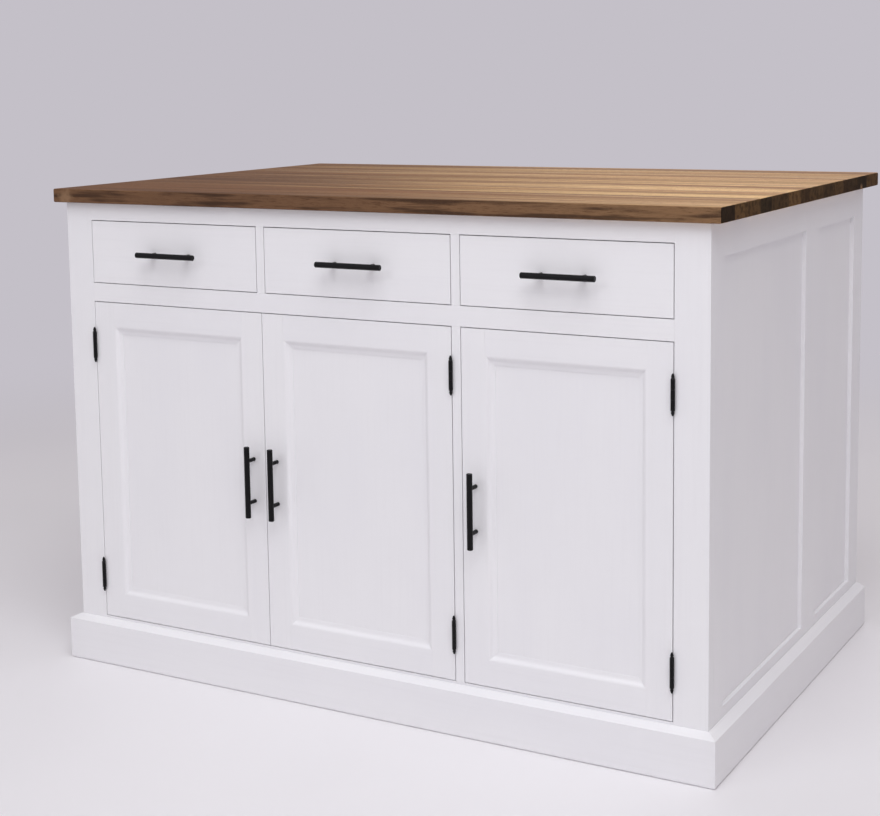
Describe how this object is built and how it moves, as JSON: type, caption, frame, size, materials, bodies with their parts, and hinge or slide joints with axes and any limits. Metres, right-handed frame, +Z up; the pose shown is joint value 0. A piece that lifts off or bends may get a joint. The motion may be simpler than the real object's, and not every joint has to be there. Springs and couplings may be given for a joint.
{
  "type": "kitchen island unit",
  "caption": "Free-standing painted timber kitchen island with a stained worktop, a row of drawers over framed cupboard doors, bar pulls and a plinth.",
  "frame": {"origin": "middle of the footprint of the whole unit, pulls included, on the floor", "axes": "+X along the front, to the right of someone facing the doors; +Y from the front to the back; +Z up"},
  "size_m": [1.3, 0.913, 0.9],
  "materials": {
    "white_paint": "white satin paint on timber",
    "stained_oak": "brown stain and satin lacquer",
    "bare_pine": "clear matt lacquer",
    "black_iron": "black powder coat",
    "zinc_steel": "zinc plated",
    "white_plastic": "moulded"
  },
  "bodies": {
    "cabinet": {"worktop": "stained_oak", "worktop_rails": "bare_pine", "worktop_screws": "zinc_steel", "face_stiles": "white_paint", "face_rails": "white_paint", "side_stiles": "white_paint", "side_rails": "white_paint", "back_stiles": "white_paint", "back_rails": "white_paint", "body_panels": "white_paint", "plinth_front": "white_paint", "plinth_sides": "white_paint", "cabinet_floor": "bare_pine", "floor_blocks": "bare_pine", "cupboard_partition": "bare_pine", "shelves": "bare_pine", "shelf_pins": "zinc_steel", "drawer_floor": "bare_pine", "drawer_dividers": "bare_pine", "drawer_runners": "bare_pine", "drawer_kickers": "bare_pine", "hinge_frame_leaves": "black_iron", "hinge_pins": "black_iron", "door_catches": "white_plastic"},
    "left_door": {"left_door_stiles": "white_paint", "left_door_rails": "white_paint", "left_door_panel": "white_paint", "left_door_pull": "black_iron", "left_door_fixings": "zinc_steel", "left_door_hinge_leaves": "black_iron"},
    "middle_door": {"middle_door_stiles": "white_paint", "middle_door_rails": "white_paint", "middle_door_panel": "white_paint", "middle_door_pull": "black_iron", "middle_door_fixings": "zinc_steel", "middle_door_hinge_leaves": "black_iron"},
    "right_door": {"right_door_stiles": "white_paint", "right_door_rails": "white_paint", "right_door_panel": "white_paint", "right_door_pull": "black_iron", "right_door_fixings": "zinc_steel", "right_door_hinge_leaves": "black_iron"},
    "left_drawer": {"left_drawer_front": "white_paint", "left_drawer_sides": "bare_pine", "left_drawer_back": "bare_pine", "left_drawer_bottom": "bare_pine", "left_drawer_pull": "black_iron", "left_drawer_screws": "zinc_steel"},
    "middle_drawer": {"middle_drawer_front": "white_paint", "middle_drawer_sides": "bare_pine", "middle_drawer_back": "bare_pine", "middle_drawer_bottom": "bare_pine", "middle_drawer_pull": "black_iron", "middle_drawer_screws": "zinc_steel"},
    "right_drawer": {"right_drawer_front": "white_paint", "right_drawer_sides": "bare_pine", "right_drawer_back": "bare_pine", "right_drawer_bottom": "bare_pine", "right_drawer_pull": "black_iron", "right_drawer_screws": "zinc_steel"}
  },
  "joints": [
    {"name": "left_door_hinge", "type": "hinge", "parent": "cabinet", "child": "left_door", "pos_m": [-0.57125, -0.4333, 0.3905], "axis": [0, 0, -1], "range_deg": [0, 170]},
    {"name": "middle_door_hinge", "type": "hinge", "parent": "cabinet", "child": "middle_door", "pos_m": [0.18458, -0.4333, 0.3905], "axis": [0, 0, 1], "range_deg": [0, 120]},
    {"name": "right_door_hinge", "type": "hinge", "parent": "cabinet", "child": "right_door", "pos_m": [0.57125, -0.4333, 0.3905], "axis": [0, 0, 1], "range_deg": [0, 170]},
    {"name": "left_drawer_slide", "type": "slide", "parent": "cabinet", "child": "left_drawer", "axis": [0, -1, 0], "range_m": [0, 0.4]},
    {"name": "middle_drawer_slide", "type": "slide", "parent": "cabinet", "child": "middle_drawer", "axis": [0, -1, 0], "range_m": [0, 0.4]},
    {"name": "right_drawer_slide", "type": "slide", "parent": "cabinet", "child": "right_drawer", "axis": [0, -1, 0], "range_m": [0, 0.4]}
  ]
}
